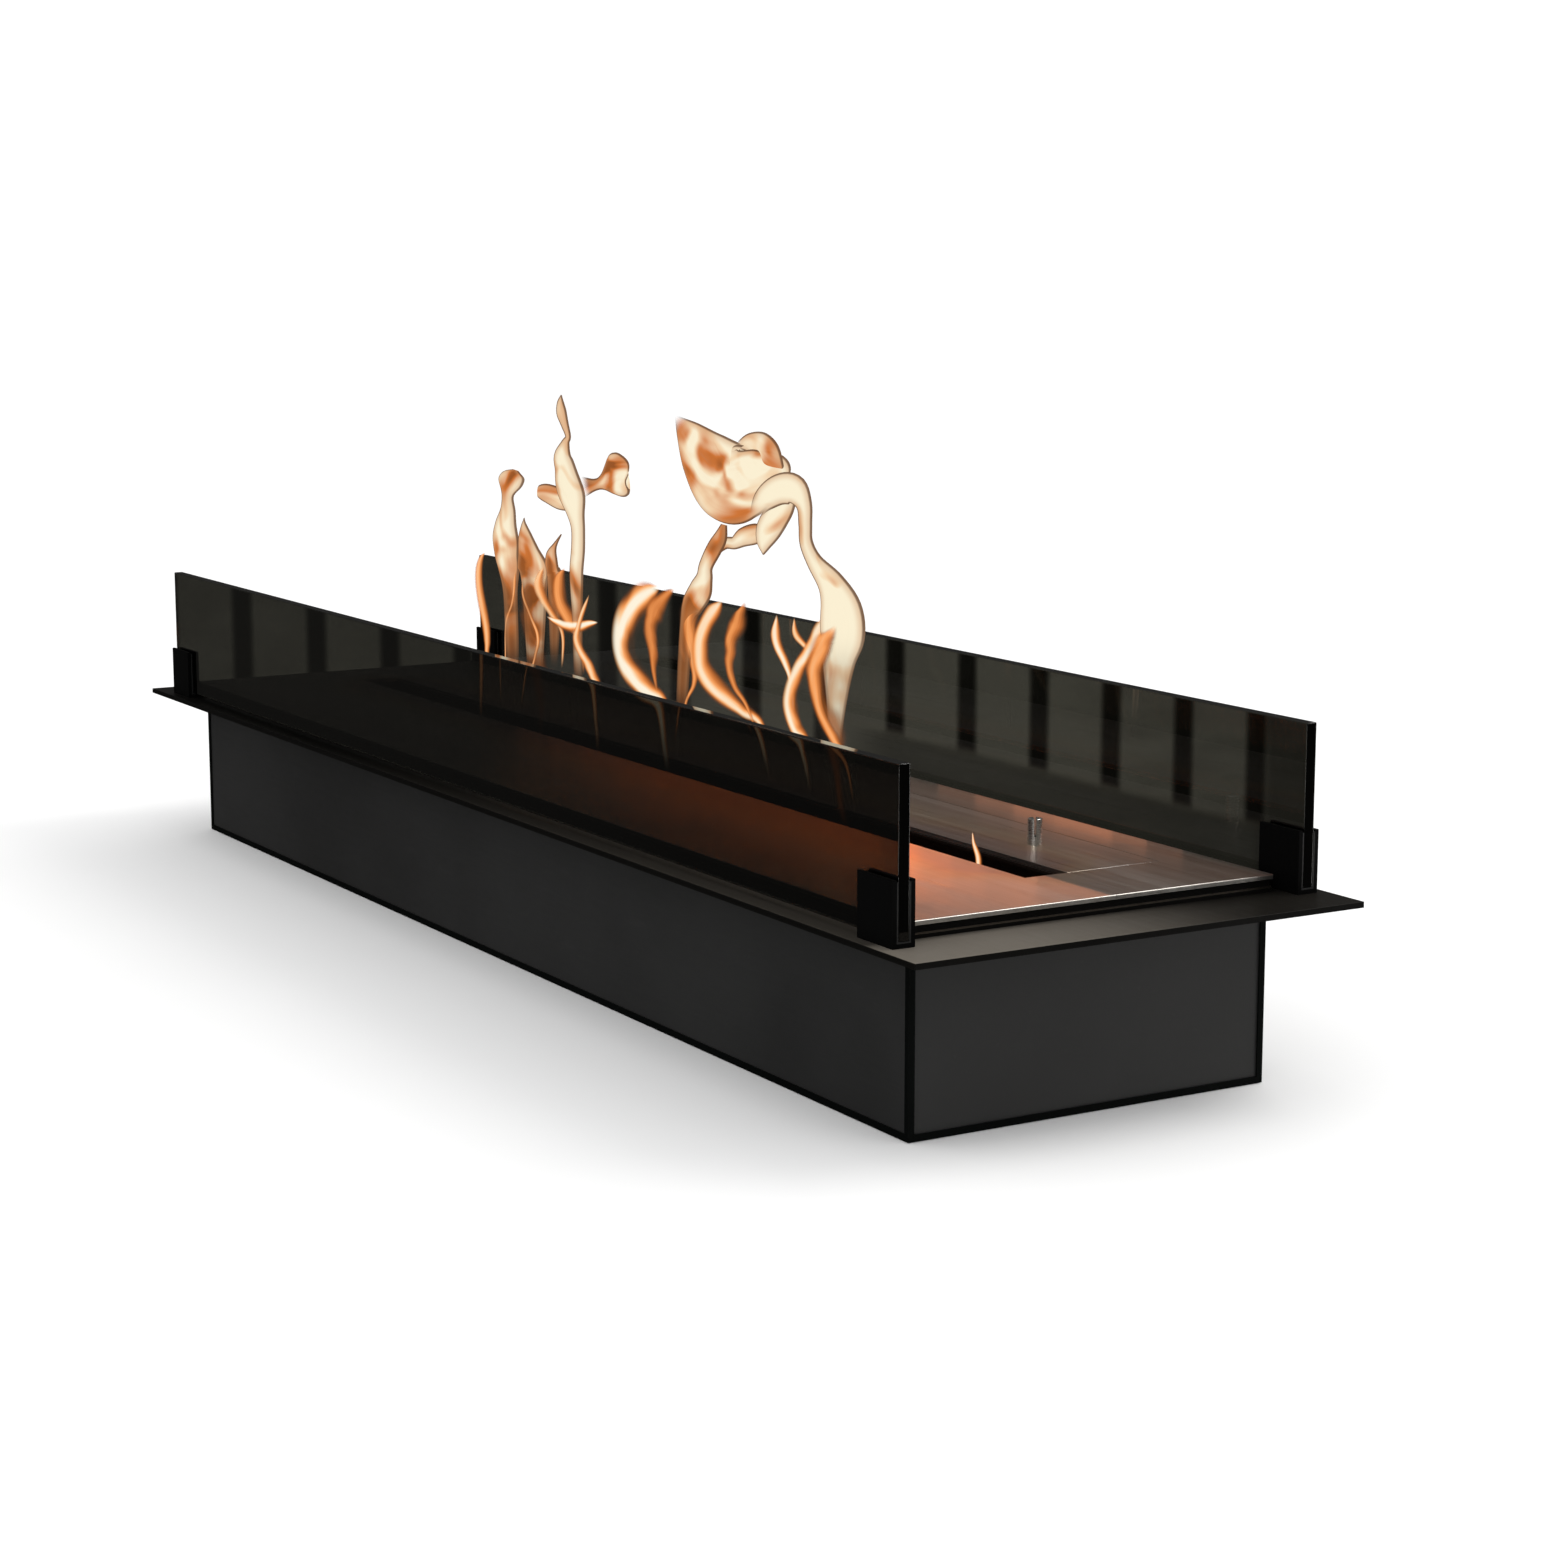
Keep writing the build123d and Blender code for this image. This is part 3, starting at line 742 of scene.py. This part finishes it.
# ------------------------------------------------------------------ operators
class FIREPLACE_OT_casing(bpy.types.Operator):
    """Paint the casing, its edge angles, the flange with the rim, and the glass holders"""

    bl_idname = "fireplace.casing"
    bl_label = "Paint casing"

    def execute(self, context):
        look = context.scene.fireplace_casing
        give(powder_coat("casing_paint", rgb(look.panel), 0.5, 0.25, 0.25), "casing_tub")
        edges = ("bottom_edge_angles", "top_edge_angles", "corner_angles")
        give(powder_coat("edge_paint", rgb(look.edge), 0.36, 0.02, 0.3), *edges)
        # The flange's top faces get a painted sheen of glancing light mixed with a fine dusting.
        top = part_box("top_flange")[1].z - 0.0001
        flange = powder_coat("flange_paint", rgb(look.flange), 0.32, 0.05, 0.3, top)
        give(flange, "top_flange")
        rim = powder_coat("rim_paint", rgb(look.flange), 0.36, 0.06, 0.3)
        give(rim, "deck_collar", "deck_frame")
        holder = powder_coat("holder_paint", rgb(look.holder), 0.34, 0.02, 0.3)
        give(holder, *nodes_starting("glass_holder"))
        return {"FINISHED"}


class FIREPLACE_OT_steel(bpy.types.Operator):
    """Finish the deck and shutter in brushed steel, the tanks in dull steel, and polish the stud"""

    bl_idname = "fireplace.steel"
    bl_label = "Finish steel"

    def execute(self, context):
        look = context.scene.fireplace_steel
        deck = brushed_steel(
            "burner_steel", rgb(look.deck), look.roughness, look.heat_tint, 0.00003, 0.25
        )
        give(deck, "burner_deck", "shutter_plate")
        tank = brushed_steel("tank_steel", rgb(look.tank), 0.45, 0.85, 0.00005, 0.8)
        give(tank, "spill_tray", "fuel_tank", "shutter_bed", "wool_plate")
        give(turned_steel("stud_steel", rgb(look.stud)), "shutter_stud")
        return {"FINISHED"}


class FIREPLACE_OT_glass(bpy.types.Operator):
    """Give the two panes smoked glass and their liners black silicone"""

    bl_idname = "fireplace.glass"
    bl_label = "Finish glass"

    def execute(self, context):
        look = context.scene.fireplace_glass
        give(smoked_glass("smoked_glass", rgb(look.tint), look.ior), *nodes_starting("glass_pane"))
        liner = silicone("liner_silicone", (0.006, 0.006, 0.006))
        give(liner, *nodes_starting("glass_liner"))
        return {"FINISHED"}


class FIREPLACE_OT_wool(bpy.types.Operator):
    """Finish the wool and the boards, and let the wool bulge through the slots of its cover"""

    bl_idname = "fireplace.wool"
    bl_label = "Finish wool and boards"

    def execute(self, context):
        look = context.scene.fireplace_wool
        fibre = ceramic_fibre("ceramic_wool", rgb(look.wool))
        give(fibre, *nodes_starting("wool_block"))
        board = mineral_board("insulation_board", rgb(look.board))
        give(board, *[name for name in sorted(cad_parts) if "_board_" in name])
        tufts = wool_tufts(fibre, look.tuft_height)
        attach(tufts, "root")
        return {"FINISHED"}


def wool_tufts(material, bulge):
    """The wool that swells through its cover's slots.

    Over each slot the height is bulge times (1 - r^2) to the power 0.7, with r the distance from
    the middle as a share of the slot's rounded outline, roughened by sines of both coordinates.
    """
    length = WOOL_HIGH.x - WOOL_LOW.x
    width = WOOL_HIGH.y - WOOL_LOW.y
    pitch, slot_length, slot_width = 0.030, 0.022, 0.005
    columns, lanes = int(length // pitch), 3
    rooted, least_swell = 0.0004, 0.0006
    centre_x = WOOL_LOW.x + length * (np.arange(columns) + 0.5) / columns
    centre_y = WOOL_LOW.y + width * (np.arange(lanes) + 0.5) / lanes
    rings, spokes = 5, 16
    share = np.linspace(0.04, 0.97, rings)[:, None]
    angle = np.linspace(0, FULL_TURN, spokes, endpoint=False)[None, :]
    straight = (slot_length - slot_width) / 2
    local_x = share * (np.cos(angle) * slot_width / 2 + np.sign(np.cos(angle)) * straight)
    local_y = share * np.sin(angle) * slot_width / 2
    x = centre_x[:, None, None, None] + local_x[None, None]
    y = centre_y[None, :, None, None] + local_y[None, None]
    x, y = np.broadcast_arrays(x, y)
    fluff = 0.7 + 0.2 * np.sin(x * 2300 + y * 900) + 0.15 * np.sin(y * 3100 - x * 1700)
    dome = (1 - share**2) ** 0.7
    z = WOOL_LOW.z - rooted + (least_swell + bulge * fluff) * dome[None, None]
    points = np.stack([x, y, z], axis=-1).reshape(-1, 3)
    one = grid_faces(rings, spokes, wrap=True)[:, ::-1]
    starts = np.arange(columns * lanes)[:, None, None] * rings * spokes
    faces = (starts + one[None]).reshape(-1, 4)
    return put_mesh("wool_tufts", points, faces, None, material)


class FIREPLACE_OT_fasteners(bpy.types.Operator):
    """Plate the studs, nuts, washers, screws and pins, and prime the cross bearers"""

    bl_idname = "fireplace.fasteners"
    bl_label = "Plate fasteners"

    def execute(self, context):
        endings = ("_studs", "_nuts", "_washers", "_screws", "_screw", "_pins")
        plated = [name for name in sorted(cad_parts) if name.endswith(endings)]
        give(zinc_plate("zinc_steel", (0.62, 0.64, 0.66)), *plated)
        give(primed_steel("bearer_steel", (0.11, 0.11, 0.115)), *nodes_starting("cross_bearer"))
        return {"FINISHED"}


# Tall flames: place along the slot (m), turn from X (degrees), how much ember colour they have,
# and stations (sideways, height, width) in mm.
TALL_FLAMES = {
    "pin_flame": (-0.251, 30, 0.6, [
        (-4, 130, 8), (-6, 200, 12), (-8, 245, 13), (-9, 266, 19), (-10, 279, 22), (-9, 292, 24),
        (-7, 304, 20), (-4, 317, 14), (-4, 330, 11), (-2, 341, 22), (-1, 347, 20), (0, 351, 6)]),
    "pin_shoulder": (-0.251, 30, 0.75, [
        (18, 130, 8), (17, 215, 18), (17, 255, 23), (18, 269, 28), (16, 284, 19), (13, 297, 12),
        (10, 307, 4), (8, 311, 1)]),
    "pin_spike": (-0.251, 30, 0.75, [
        (38, 180, 6), (38, 256, 13), (37, 268, 13), (39, 281, 10), (42, 290, 4), (46, 299, 1)]),
    "tall_twist": (-0.137, 30, 0.4, [
        (2, 130, 6), (0, 200, 8), (-1, 235, 9), (-2, 260, 11), (-2, 277, 12), (0, 293, 12),
        (1, 310, 12), (0, 322, 15), (-2, 336, 22), (-5, 348, 22), (-7, 360, 18), (-9, 370, 15),
        (-6, 381, 7), (-4, 386, 5), (-8, 396, 7), (-12, 405, 9), (-14, 413, 6), (-14, 419, 1)]),
    "twist_left_lobe": (-0.137, 30, 0.45, [
        (-5, 330, 10), (-17, 334, 16), (-27, 339, 14), (-34, 340, 8), (-36, 340, 1)]),
    "twist_right_fan": (-0.137, 30, 1.25, [
        (7, 345, 16), (17, 347, 9), (24, 349, 11), (33, 352, 22), (41, 355, 31), (46, 357, 33),
        (49, 358, 27), (50, 358, 2)]),
    "leaf_flame": (0.091, 30, 0.65, [
        (-32, 413, 1), (-22, 400, 21), (-9, 384, 40), (6, 370, 53), (19, 363, 54), (33, 365, 47),
        (46, 371, 37), (58, 375, 22), (64, 370, 6)]),
    "leaf_crown": (0.091, 30, 0.5, [
        (22, 392, 4), (31, 394, 14), (41, 391, 22), (51, 385, 22), (58, 377, 11), (59, 371, 2)]),
    "leaf_tail": (0.091, 30, 0.25, [
        (65, 364, 11), (61, 353, 17), (56, 342, 20), (51, 330, 19), (46, 319, 11), (43, 311, 1)]),
    "leaf_stem": (0.091, 30, 0.9, [
        (-30, 150, 8), (-27, 225, 10), (-24, 258, 12), (-19, 270, 17), (-10, 282, 18),
        (-5, 292, 13), (-3, 301, 11), (3, 313, 12), (7, 322, 11), (9, 332, 5)]),
    "leaf_branch": (0.091, 30, 0.9, [
        (3, 312, 6), (10, 318, 8), (19, 319, 9), (29, 324, 13), (39, 327, 14), (44, 328, 9)]),
    "long_ribbon": (0.255, 30, 0.05, [
        (-59, 347, 6), (-51, 360, 16), (-39, 368, 20), (-27, 368, 20), (-19, 358, 12),
        (-17, 344, 10), (-15, 331, 10), (-7, 318, 12), (7, 303, 20), (15, 286, 30),
        (16, 268, 32), (12, 248, 24), (9, 215, 14), (6, 170, 6)]),
}
# Low flames, kept between the panes, in the same form.
LOW_FLAMES = {
    "low_left_band": (-0.313, 15, 0.6, [
        (1, 128, 6), (-1, 182, 7), (0, 200, 11), (0, 221, 14), (-1, 243, 14), (-1, 261, 13),
        (-1, 272, 8), (-1, 276, 1)]),
    "low_strand_left": (-0.26, 15, 0.6, [
        (-8, 150, 2), (-10, 190, 2), (-8, 220, 3), (2, 236, 4), (7, 249, 5), (8, 262, 6),
        (8, 272, 1)]),
    "low_strand_right": (-0.25, 15, 0.6, [
        (12, 150, 3), (17, 180, 3), (22, 194, 4), (28, 209, 6), (25, 222, 6), (18, 234, 5),
        (10, 246, 4), (7, 258, 1)]),
    "low_pink": (-0.2, 15, 0.5, [
        (24, 190, 3), (22, 218, 6), (16, 235, 13), (8, 251, 16), (2, 263, 17), (-1, 274, 3)]),
    "low_fold": (-0.145, 15, 0.85, [
        (14, 190, 4), (7, 219, 8), (-2, 235, 23), (-7, 247, 23), (-8, 259, 23), (-10, 271, 19),
        (-11, 277, 2)]),
    "low_hook": (-0.145, 15, 0.0, [
        (-32, 235, 1), (-24, 231, 6), (-10, 228, 9), (7, 229, 10), (22, 233, 7), (30, 235, 1)]),
    "low_leg": (-0.14, 15, 0.4, [
        (34, 128, 5), (27, 178, 8), (20, 192, 12), (11, 207, 12), (7, 219, 12), (9, 230, 8),
        (13, 245, 6), (16, 258, 1)]),
    "low_crescent": (-0.035, 15, 0.0, [
        (44, 128, 6), (32, 178, 10), (12, 192, 18), (-4, 204, 22), (-10, 219, 23), (-7, 238, 25),
        (2, 254, 26), (17, 267, 24), (27, 274, 3)]),
    "low_crescent_shade": (-0.02, 15, 1.0, [
        (16, 190, 4), (9, 209, 10), (10, 225, 18), (13, 241, 22), (19, 257, 22), (28, 269, 16),
        (33, 275, 2)]),
    "low_stem_veil": (0.091, 15, 0.8, [
        (-36, 160, 3), (-33, 191, 4), (-23, 207, 8), (-18, 223, 17), (-19, 239, 23),
        (-20, 254, 25), (-19, 266, 25), (-15, 277, 6)]),
    "low_sweep": (0.13, 15, 0.25, [
        (40, 150, 5), (23, 187, 8), (2, 198, 15), (-22, 210, 21), (-35, 224, 21), (-35, 242, 19),
        (-29, 257, 17), (-22, 269, 15), (-19, 277, 2)]),
    "low_sweep_shade": (0.15, 15, 0.95, [
        (8, 180, 4), (-7, 201, 7), (-20, 215, 11), (-23, 230, 17), (-16, 246, 22), (-8, 259, 26),
        (-7, 271, 20), (-9, 279, 2)]),
    "low_pale": (0.196, 15, 0.15, [
        (12, 190, 3), (7, 223, 6), (4, 238, 9), (-2, 252, 10), (-5, 263, 10), (-8, 274, 1)]),
    "low_cross": (0.216, 15, 0.4, [
        (24, 236, 2), (18, 247, 5), (8, 257, 7), (1, 265, 8), (-4, 274, 1)]),
    "low_bend": (0.245, 15, 0.15, [
        (0, 150, 4), (-12, 183, 8), (-25, 195, 13), (-29, 209, 15), (-25, 222, 14),
        (-16, 236, 13), (-8, 248, 12), (1, 259, 14), (7, 271, 14), (10, 280, 1)]),
    "low_veil": (0.289, 15, 0.75, [
        (10, 150, 3), (0, 177, 5), (-17, 193, 11), (-27, 210, 16), (-30, 227, 20), (-27, 246, 23),
        (-19, 261, 25), (-15, 275, 4)]),
    "veil_left": (-0.21, 15, 1.7, [
        (10, 128, 14), (4, 180, 26), (0, 220, 36), (-4, 255, 34), (-8, 278, 10)]),
    "veil_right": (0.275, 15, 1.5, [
        (14, 128, 10), (2, 180, 26), (-8, 220, 36), (-6, 250, 30), (-2, 272, 10)]),
    "slot_end_flame": (0.452, 15, 0.2, [
        (0, 118, 5), (0, 134, 6), (-1, 143, 5), (-3, 149, 3), (-6, 154, 1)]),
}


class FIREPLACE_OT_flames(bpy.types.Operator):
    """Raise the flames, which are no part of the object"""

    bl_idname = "fireplace.flames"
    bl_label = "Light flames"

    def execute(self, context):
        look = context.scene.fireplace_flames
        colours = (rgb(look.core), rgb(look.body), rgb(look.outline))
        middle = PLATE_LOW.y - SLOT_HALF
        kinds = (
            (TALL_FLAMES, tall_flame_skin("tall_flame_skin", *colours), 1.12, 0.33),
            (LOW_FLAMES, low_flame_skin("low_flame_skin", *colours[1:]), 1.3, 0.08),
        )
        for table, material, swell, depth in kinds:
            for number, (name, (x, turn, ember, stations)) in enumerate(table.items()):
                flame = flame_tube(
                    name, number, (x, middle), turn, ember, stations, material, swell, depth
                )
                flame.visible_shadow = False
                flame.visible_diffuse = False
                # Only the tall ones mirror; the strips of light stand in for the low ones.
                flame.visible_glossy = table is TALL_FLAMES
                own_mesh(flame)
        return {"FINISHED"}


def soft_light(name, place, aim, size, power, colour, lit=None):
    """A flat light at a place, turned to face the aim; with lit, only that collection knows it."""
    lamp = bpy.data.lights.new(name, "AREA")
    lamp.shape = "RECTANGLE"
    lamp.size, lamp.size_y = size
    lamp.energy = power
    lamp.color = colour
    made = bpy.data.objects.new(name, lamp)
    made.location = place
    made.rotation_mode = "QUATERNION"
    made.rotation_quaternion = (Vector(aim) - Vector(place)).to_track_quat("-Z", "Y")
    made.visible_camera = False
    made.visible_transmission = False
    if lit is not None:
        made.light_linking.receiver_collection = lit
        made.light_linking.blocker_collection = lit
    bpy.context.scene.collection.objects.link(made)
    return made


class FIREPLACE_OT_stage(bpy.types.Operator):
    """Set the pale floor, the soft studio light and the camera"""

    bl_idname = "fireplace.stage"
    bl_label = "Set stage"

    def execute(self, context):
        look = context.scene.fireplace_stage
        scene = context.scene
        scene.view_settings.view_transform = "Standard"
        self.floor(rgb(look.floor))
        self.surroundings(scene)
        self.lights(context.scene.fireplace_flames.light)
        self.camera(scene, look)
        return {"FINISHED"}

    @staticmethod
    def floor(colour):
        """A plain pale disc: rings of points spread further apart as they go out."""
        material, g = new_material("floor_paint")
        speck = g.noise(g.coords(), 3.0, 3.0, 0.5)
        g.finish(
            {
                "Base Color": g.mix(g.step(speck, 0.3, 0.7), shade(colour, 0.99), colour),
                "Roughness": 0.9,
                "Specular IOR Level": 0.0,
            }
        )
        below, spokes = -0.0005, 64
        radius = np.array([0.001, 1.0, 3.0, 9.0, 30.0, 90.0])[:, None]
        angle = np.linspace(0, FULL_TURN, spokes, endpoint=False)[None, :]
        x, y = radius * np.cos(angle), radius * np.sin(angle)
        points = np.stack([x, y, np.full_like(x, below)], axis=-1).reshape(-1, 3)
        faces = grid_faces(len(radius), spokes, wrap=True)
        floor = put_mesh("floor", points, faces, None, material)
        floor.visible_glossy = False
        floor.visible_transmission = False

    @staticmethod
    def surroundings(scene):
        """White to the eye and for even light; in the gloss and the glass a dim room.

        Through the glass it shows upright posts, a sine of the bearing, over a darker band below
        the line of sight. In the gloss it is a grey sky with a pale field to each side.
        """
        posts, post_start = 272.6, -1.88
        world = bpy.data.worlds.new("studio")
        scene.world = world
        g = Graph(world)
        facing = g.coords("Generated")
        x, y, z = (g.axis(facing, name) for name in "XYZ")
        bearing = g.node("ShaderNodeMath", {"operation": "ARCTAN2"}, {0: y, 1: x})
        wave = g.node("ShaderNodeMath", {"operation": "SINE"}, {0: bearing * posts + post_start})
        below = g.step(z + abs(y) * 0.2935, 0.002, -0.002) * g.step(bearing, 2.6, 2.57)
        post = g.step(wave, 0.4, 0.92) * (1.0 - below)
        haze = g.noise(g.stretch(facing, 40.0, 40.0, 130.0), 1.0, 4.0, 0.6)
        dim = g.step(bearing, 2.7, 2.58, 0.45, 1.0) * g.step(bearing, 2.45, 2.458, 0.3, 1.0)
        dim = dim * g.step(bearing, 2.45, 2.57, 0.85, 1.35)
        dim = dim * (1.0 - below * 0.62)
        room = g.step(haze, 0.2, 0.8, 0.7, 1.0) * (1.0 - post * 0.95) * dim
        seen = g.mix(room, (0.02, 0.02, 0.016), (0.82, 0.81, 0.72))
        sky = g.step(z, 0.0, 0.8)
        mirrored = g.mix(sky, (0.028, 0.027, 0.025), (0.17, 0.17, 0.17))
        right = g.step(abs(bearing - 1.25), 0.55, 0.3) * g.step(z, 0.98, 0.85)
        left = g.step(abs(bearing + 1.45), 0.36, 0.2) * g.step(z, 0.5, 0.3)
        mirrored = g.mix(g.least(right + left, 1.0), mirrored, (1.9, 1.87, 1.8))
        ray = {
            name: g.node("ShaderNodeLightPath", out=name)
            for name in ("Is Camera Ray", "Is Glossy Ray", "Is Transmission Ray")
        }
        colour = g.mix(ray["Is Glossy Ray"], (1.0, 1.0, 1.0), mirrored)
        colour = g.mix(ray["Is Transmission Ray"], colour, seen)
        colour = g.mix(ray["Is Camera Ray"], colour, (1.0, 1.0, 1.0))
        light = g.node("ShaderNodeBackground", None, {"Color": colour, "Strength": 1.12})
        g.output(light, "ShaderNodeOutputWorld")

    @staticmethod
    def lights(power):
        """A softbox overhead, and the fire's own light on the deck and the shutter.

        The fire is rows of upright strips of light that face the front, in the slot and behind the
        deck. Each strip goes from one x to the next and has its own brightness; dim ones are paler.
        A flat light of 4 watts to the square metre looks about as bright as 1.
        """
        watts_when_1, reddest = 4.0, 1.3
        white = (1.0, 0.985, 0.96)
        soft_light("top_softbox", (0.9, 1.5, 2.4), (0.4, 0.0, 0.1), (1.4, 1.0), 18.0, white)
        stud = bpy.data.collections.new("stud_only")
        stud.objects.link(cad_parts["shutter_stud"])
        stud_top = (0.441, 0.066, 0.148)
        soft_light("stud_light_left", (1.0, -0.75, 0.4), stud_top, (0.35, 0.6), 2.6, white, stud)
        soft_light("stud_light_right", (0.78, 1.0, 0.4), stud_top, (0.5, 0.6), 2.4, white, stud)
        lit = bpy.data.collections.new("lit_by_the_flames")
        for name in ("burner_deck", "shutter_plate"):
            lit.objects.link(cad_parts[name])
        for name, y, z, height, ends, glow in (
            ("flame_glow", 0.012, 0.168, 0.055,
             (-0.24, -0.18, -0.12, -0.06, 0.0, 0.06, 0.12, 0.2, 0.26, 0.34, 0.38, 0.42, 0.46,
              0.52, 0.6),
             (0.25, 0.5, 0.8, 1.1, 1.3, 1.35, 1.45, 1.6, 1.75, 1.15, 0.8, 0.6, 0.48, 0.32)),
            ("border_glow", 0.1465, 0.148, 0.014,
             (0.2, 0.25, 0.3, 0.35, 0.42, 0.46, 0.5), (0.08, 0.2, 0.34, 0.42, 0.24, 0.08)),
            ("back_glow", 0.147, 0.19, 0.09, (-0.6, 0.62), (0.045,)),
        ):
            for number, (start, end, bright) in enumerate(zip(ends[:-1], ends[1:], glow), start=1):
                middle = (start + end) / 2
                size = (end - start, height)
                watts = power * watts_when_1 * bright * size[0] * size[1]
                heat = min(bright / reddest, 1.0)
                colour = (1.0, 0.42 - 0.19 * heat, 0.24 - 0.19 * heat)
                place, aim = (middle, y, z), (middle, -1.0, z)
                soft_light(f"{name}_{number}", place, aim, size, watts, colour, lit)

    @staticmethod
    def camera(scene, look):
        """The camera, from its place, heading and tilt."""
        lens = bpy.data.cameras.new("camera")
        lens.lens = look.lens
        lens.sensor_width = 36.0
        lens.clip_start, lens.clip_end = 0.05, 200.0
        made = bpy.data.objects.new("camera", lens)
        facing = Vector(
            (
                math.cos(look.tilt) * math.cos(look.heading),
                math.cos(look.tilt) * math.sin(look.heading),
                -math.sin(look.tilt),
            )
        )
        made.location = look.camera
        made.rotation_mode = "QUATERNION"
        made.rotation_quaternion = facing.to_track_quat("-Z", "Y")
        scene.collection.objects.link(made)
        scene.camera = made


class FIREPLACE_PT_panel(bpy.types.Panel):
    """Lists the fireplace's steps and their settings"""

    bl_label = "Fireplace"
    bl_idname = "FIREPLACE_PT_panel"
    bl_space_type = "VIEW_3D"
    bl_region_type = "UI"
    bl_category = "Fireplace"

    def draw(self, context):
        layout = self.layout
        for operator, settings in STEPS:
            box = layout.box()
            box.operator(operator.bl_idname)
            if settings is None:
                continue
            group = getattr(context.scene, settings)
            for key in group.__annotations__:
                box.prop(group, key)


STEPS = (
    (FIREPLACE_OT_casing, "fireplace_casing"),
    (FIREPLACE_OT_steel, "fireplace_steel"),
    (FIREPLACE_OT_glass, "fireplace_glass"),
    (FIREPLACE_OT_wool, "fireplace_wool"),
    (FIREPLACE_OT_fasteners, None),
    (FIREPLACE_OT_flames, "fireplace_flames"),
    (FIREPLACE_OT_stage, "fireplace_stage"),
)
GROUPS = {
    "fireplace_casing": CasingSettings,
    "fireplace_steel": SteelSettings,
    "fireplace_glass": GlassSettings,
    "fireplace_wool": WoolSettings,
    "fireplace_flames": FlameSettings,
    "fireplace_stage": StageSettings,
}
CLASSES = (*GROUPS.values(), *(operator for operator, _ in STEPS), FIREPLACE_PT_panel)


def register():
    """Registers the classes and hangs the settings on the scene."""
    for cls in CLASSES:
        bpy.utils.register_class(cls)
    for key, cls in GROUPS.items():
        setattr(bpy.types.Scene, key, bpy.props.PointerProperty(type=cls))


def unregister():
    """Takes the settings and the classes away again."""
    for key in GROUPS:
        delattr(bpy.types.Scene, key)
    for cls in reversed(CLASSES):
        bpy.utils.unregister_class(cls)


def main():
    """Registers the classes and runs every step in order."""
    register()
    for operator, _ in STEPS:
        group, name = operator.bl_idname.split(".")
        getattr(getattr(bpy.ops, group), name)()


if __name__ == "__main__":
    main()
